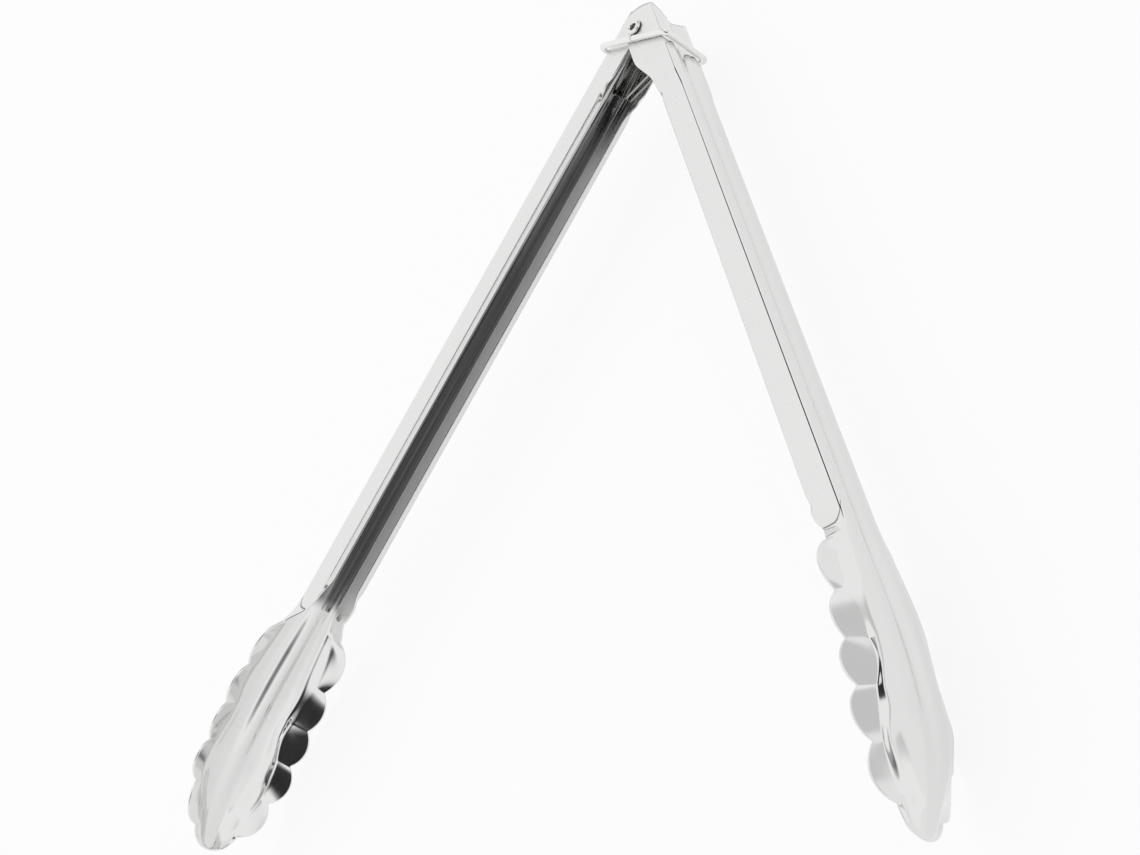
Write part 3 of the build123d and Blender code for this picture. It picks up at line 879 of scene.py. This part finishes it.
def raise_surface(tree, shader, height):
    """Sends a height in metres to the shader as bump."""
    bump = node(tree, "ShaderNodeBump", {"Height": height, "Strength": 1.0, "Distance": 1.0})
    tree.links.new(bump.outputs[0], shader.inputs["Normal"])


print("materials before the finishes:", len(bpy.data.materials))

# %% The sheet's finish
STEEL = (0.80, 0.80, 0.795)
SCRATCH_DARKNESS = 0.16
SCRATCH_DEPTH = 0.008 * MM
GRAIN_HEIGHT = 0.0012 * MM
# Painted shade darkens the colour along the crease at the end line
CREASE_PAINTED_SHADE = 0.85
# Painted shade darkens the inside of the channel's back
BACK_PAINTED_SHADE = 0.78
WALL_ROUGHNESS = 0.70
WALL_METALLIC = 0.1
# Painted light lifts the colour of the lower wall inside the channel
WALL_PAINTED_LIGHT = 0.15


def sheet_areas(tree):
    """Shares of 0 to 1 from the arm's measures: the satin outside of the flat sides, the inner
    face, the inside of the channel's back and the inside of its lower wall past the head."""
    along, across, out = (attribute(tree, measure) for measure in ("along", "across", "out"))
    inside = attribute(tree, "inside")
    wide = node(tree, "ShaderNodeMath", {0: across}, operation="ABSOLUTE").outputs[0]
    on_side = ranged(tree, wide, 6.1 * MM, 6.6 * MM, 0.0, 1.0)
    below_bend = ranged(tree, out, 6.6 * MM, 8.0 * MM, 1.0, 0.0)
    outer_face = ranged(tree, inside, 0.2, 0.4, 1.0, 0.0)
    inner_face = ranged(tree, inside, 0.6, 0.9, 0.0, 1.0)
    before_neck = ranged(tree, along, 207.0 * MM, 212.5 * MM, 1.0, 0.0, smooth=True)
    past_head = ranged(tree, along, 22.0 * MM, 50.0 * MM, 0.0, 1.0, smooth=True)
    in_channel = product(tree, inner_face, before_neck)
    return {
        "satin": product(tree, on_side, attribute(tree, "flat_side"), outer_face, below_bend),
        "inner_face": inner_face,
        "back": product(tree, in_channel, ranged(tree, wide, 6.9 * MM, 7.3 * MM, 1.0, 0.0)),
        "wall": product(tree, in_channel, ranged(tree, across, -7.3 * MM, -6.9 * MM, 1.0, 0.0), past_head),
    }


def sheet_finish():
    """The sheet's roughness, colour and height. Its shade is 1 less the scratches and the painted
    shade on the crease, times 1 less the painted shade inside the back, plus painted light on
    the lower wall."""
    finish, tree, shader = new_finish("stamped_sheet", STEEL, 0.16)
    areas = sheet_areas(tree)
    along = attribute(tree, "along")
    measures = node(tree, "ShaderNodeCombineXYZ",
                    {"X": along, "Y": attribute(tree, "across"), "Z": attribute(tree, "out")}).outputs[0]
    # Scratches across the flat sides lie in patches
    scratches = stretched_noise(tree, measures, (1500.0, 200.0, 110.0), 5.0, 0.70)
    patches = stretched_noise(tree, measures, (120.0, 200.0, 200.0), 2.0)
    marks = product(tree, areas["satin"], ranged(tree, scratches, 0.62, 0.72, 0.0, 1.0),
                    ranged(tree, patches, 0.42, 0.62, 0.0, 1.0))
    # Painted shade darkens the inside of the back, in streaks that are faint away from the head
    streaks = stretched_noise(tree, measures, (6.0, 430.0, 430.0), 3.0, 0.55)
    faintest = ranged(tree, along, 30.0 * MM, 90.0 * MM, 0.30, 0.80)
    painted_back_shade = product(tree, areas["back"], BACK_PAINTED_SHADE, ranged(tree, streaks, 0.42, 0.60, 1.0, faintest))
    handling = stretched_noise(tree, measures, (240.0, 320.0, 320.0), 6.0, 0.65)
    polished = ranged(tree, handling, 0.3, 0.75, 0.07, 0.15)
    rough = blended(tree, areas["satin"], polished, ranged(tree, scratches, 0.35, 0.7, 0.24, 0.34))
    tree.links.new(blended(tree, areas["wall"], rough, WALL_ROUGHNESS), shader.inputs["Roughness"])
    tree.links.new(ranged(tree, areas["wall"], 0.0, 1.0, 1.0, WALL_METALLIC), shader.inputs["Metallic"])
    # The scratches darken the colour, and painted shade darkens it along the crease
    darker = arithmetic(tree, "ADD", product(tree, marks, SCRATCH_DARKNESS),
                        product(tree, attribute(tree, "crease"), CREASE_PAINTED_SHADE))
    shade = product(tree, arithmetic(tree, "SUBTRACT", 1.0, darker), arithmetic(tree, "SUBTRACT", 1.0, painted_back_shade))
    # Painted light lifts the colour of the lower wall inside the channel
    shade = arithmetic(tree, "ADD", shade, product(tree, areas["wall"], WALL_PAINTED_LIGHT))
    colour = node(tree, "ShaderNodeVectorMath", {0: STEEL, "Scale": shade}, operation="SCALE")
    tree.links.new(colour.outputs[0], shader.inputs["Base Color"])
    # A fine grain on what is polished, and grooves at the scratches
    smooth = arithmetic(tree, "SUBTRACT", 1.0, arithmetic(tree, "ADD", areas["satin"], areas["inner_face"]))
    grain = product(tree, smooth, stretched_noise(tree, measures, (60.0, 5200.0, 5200.0), 3.0))
    height = arithmetic(tree, "ADD", product(tree, marks, -SCRATCH_DEPTH), product(tree, grain, GRAIN_HEIGHT))
    raise_surface(tree, shader, height)
    return finish


SHEET_FINISH = sheet_finish()
for piece in (outer_sheet, inner_sheet):
    piece.data.materials.append(SHEET_FINISH)
print("the sheet's finish has", len(SHEET_FINISH.node_tree.nodes), "nodes")

# %% The wire's and the rivet's finishes
RIVET_STEEL = (0.80, 0.80, 0.79, 1)
# Painted shade for the rivet's bore and the seam under its roll
RIVET_PAINTED_SHADE = (0.16, 0.16, 0.16, 1)
MOTTLE_HEIGHT = 0.004 * MM
# Shares of a wire's own roughness
MOTTLE_ROUGHNESS = np.array([0.7, 1.4])


def wire_finish(name, colour, roughness):
    """Bright drawn wire with a faint mottle, which moves the roughness and the height."""
    finish, tree, shader = new_finish(name, colour, roughness)
    place = node(tree, "ShaderNodeTexCoord").outputs["Object"]
    mottle = stretched_noise(tree, place, (900.0, 900.0, 900.0), 5.0, 0.6)
    least, most = roughness * MOTTLE_ROUGHNESS
    tree.links.new(ranged(tree, mottle, 0.3, 0.7, least, most), shader.inputs["Roughness"])
    raise_surface(tree, shader, product(tree, mottle, MOTTLE_HEIGHT))
    return finish


def rivet_finish():
    """Bright steel, with painted shade in the bore and in the seam under its roll."""
    finish = wire_finish("rivet_finish", RIVET_STEEL[:3], 0.16)
    tree = finish.node_tree
    place = node(tree, "ShaderNodeTexCoord").outputs["Object"]
    centred = node(tree, "ShaderNodeVectorMath", {0: place, 1: tuple(PIVOT)}, operation="SUBTRACT").outputs[0]
    apart = node(tree, "ShaderNodeSeparateXYZ", {0: centred})
    flat = node(tree, "ShaderNodeCombineXYZ", {"X": apart.outputs["X"], "Y": apart.outputs["Y"]}).outputs[0]
    radius = node(tree, "ShaderNodeVectorMath", {0: flat}, operation="LENGTH").outputs["Value"]
    seam = float(rivet_high[2] - PIVOT[2]) - RIVET_END_HEIGHT
    in_bore = ranged(tree, radius, 1.05 * MM, 1.35 * MM, 1.0, 0.0)
    in_seam = ranged(tree, apart.outputs["Z"], seam + 0.10 * MM, seam + 0.42 * MM, 1.0, 0.0)
    # Painted shade in the bore and in the seam under the roll
    painted_rivet_shade = arithmetic(tree, "MAXIMUM", in_bore, in_seam)
    colour = blended(tree, painted_rivet_shade, RIVET_STEEL, RIVET_PAINTED_SHADE, "RGBA")
    tree.links.new(colour, tree.nodes["Principled BSDF"].inputs["Base Color"])
    return finish


ring.data.materials.append(wire_finish("ring_wire_finish", (0.86, 0.86, 0.85), 0.16))
SPRING_FINISH = wire_finish("spring_wire_finish", (0.45, 0.44, 0.43), 0.28)
rivet.data.materials.append(rivet_finish())
for piece in spring_pieces:
    piece.data.materials.append(SPRING_FINISH)
print("finishes:", ", ".join(material.name for material in bpy.data.materials))

# %% [markdown]
# ## Floor, light and camera
# The tongs lie in a white studio. Bright steel shows what stands round it, so the light is a
# white room with four darker patches. A dark gap where the camera stands gives the dark inside
# of the channel and the dark scallops. A dark gap high at the back gives the fine dark line on
# each bend. A grey far wall and a grey patch of ceiling shade the other scallops and the backs.

# %% The floor
FLOOR_DROP = 0.3 * MM


def floor_finish():
    """Pale and matt, and close to white where the camera or the steel sees it."""
    finish = bpy.data.materials.new("pale_floor")
    finish.use_nodes = True
    tree = finish.node_tree
    tree.nodes.clear()
    path = node(tree, "ShaderNodeLightPath")
    matt = node(tree, "ShaderNodeBsdfDiffuse", {"Color": (0.9, 0.9, 0.9, 1)})
    white = node(tree, "ShaderNodeEmission", {"Color": (1, 1, 1, 1), "Strength": 1.0})
    seen = product(tree, path.outputs["Is Camera Ray"], 0.86)
    mirrored = product(tree, path.outputs["Is Glossy Ray"], 0.6)
    mixed = node(tree, "ShaderNodeMixShader", {0: arithmetic(tree, "ADD", seen, mirrored),
                                               1: matt.outputs[0], 2: white.outputs[0]})
    node(tree, "ShaderNodeOutputMaterial", {"Surface": mixed.outputs[0]})
    return finish


floor_mesh = bpy.data.meshes.new("floor")
floor_mesh.from_pydata([(-3, -3, 0), (3, -3, 0), (3, 3, 0), (-3, 3, 0)], [], [(0, 1, 2, 3)])
floor = in_scene("floor", floor_mesh)
floor.location.z = cad_box[0][2] - FLOOR_DROP
floor_mesh.materials.append(floor_finish())
print("floor at", round(floor.location.z / MM, 2), "mm")

# %% The room's light
WALL_LEVEL = 0.98
# By patch: its direction, its inner and outer size in degrees, and its level
PATCHES = {
    "far_wall": ((0.72, 0.66, 0.16), 17, 27, 0.66),
    "ceiling": ((0.53, -0.05, 0.85), 8, 20, 0.42),
    "camera_gap": ((0.716, -0.364, 0.596), 14, 26, 0.03),
    "back_gap": ((0.01, 0.745, 0.667), 9, 15, 0.03),
}


def patch_share(tree, direction, toward, inner_degrees, outer_degrees):
    """1 well inside a round patch of the room and 0 outside it, by the cosine of the angle."""
    middle = tuple(unit(np.array(toward)))
    facing = node(tree, "ShaderNodeVectorMath", {0: direction, 1: middle}, operation="DOT_PRODUCT")
    outer, inner = np.cos(np.radians([outer_degrees, inner_degrees]))
    return ranged(tree, facing.outputs["Value"], float(outer), float(inner), 0.0, 1.0, smooth=True)


world = bpy.data.worlds.new("white_room")
bpy.context.scene.world = world
world.use_nodes = True
room = world.node_tree
room.nodes.clear()
direction = node(room, "ShaderNodeTexCoord").outputs["Generated"]
room_colour = (WALL_LEVEL, WALL_LEVEL, WALL_LEVEL, 1)
for toward, inner_degrees, outer_degrees, level in PATCHES.values():
    share = patch_share(room, direction, toward, inner_degrees, outer_degrees)
    room_colour = blended(room, share, room_colour, (level, level, level, 1), "RGBA")
room_light = node(room, "ShaderNodeBackground", {"Color": room_colour, "Strength": 1.0})
node(room, "ShaderNodeOutputWorld", {"Surface": room_light.outputs[0]})
print("patches in the room:", ", ".join(PATCHES))


# %% Two soft lamps
def soft_light(name, toward, distance, size, power):
    """A square area lamp that looks at the tongs from a direction."""
    lamp = bpy.data.lights.new(name, "AREA")
    lamp.size = size
    lamp.energy = power
    holder = in_scene(name, lamp)
    away = unit(np.array(toward))
    holder.location = away * distance
    holder.visible_glossy = False
    holder.rotation_euler = Vector(-away).to_track_quat("-Z", "Y").to_euler()
    print(name, "at", (away * distance).round(2))


soft_light("key_light", (-0.716, 0.364, 0.8), 1.4, 0.8, 2.0)
soft_light("fill_light", (0.5, -0.9, 0.9), 1.6, 0.8, 1.0)

# %% [markdown]
# The camera was placed by fitting the model's corners to the same corners in the picture. Its
# place is given from the rivet, and its lens by the focal length in pixels of the picture.

# %% The camera
PHOTO_WIDTH_PIXELS = 1140
FOCAL_LENGTH_PIXELS = 2046.25
SENSOR_WIDTH = 36.0
EYE_FROM_PIVOT = np.array([428.276, -353.663, 360.340]) * MM
camera_axes = np.array([
    (0.68115, 0.17476, -0.71099),
    (0.15469, 0.91482, 0.37306),
    (0.71562, -0.36409, 0.59609),
])
lens = bpy.data.cameras.new("photo_camera")
lens.sensor_width = SENSOR_WIDTH
lens.lens = SENSOR_WIDTH * FOCAL_LENGTH_PIXELS / PHOTO_WIDTH_PIXELS
camera = in_scene("photo_camera", lens)
placed = np.eye(4)
placed[:3, :3] = camera_axes.T
placed[:3, 3] = PIVOT + EYE_FROM_PIVOT
camera.matrix_world = Matrix(placed.tolist())
bpy.context.scene.camera = camera
bpy.context.scene.view_settings.view_transform = "Standard"
print("lens", round(lens.lens, 2), "mm")
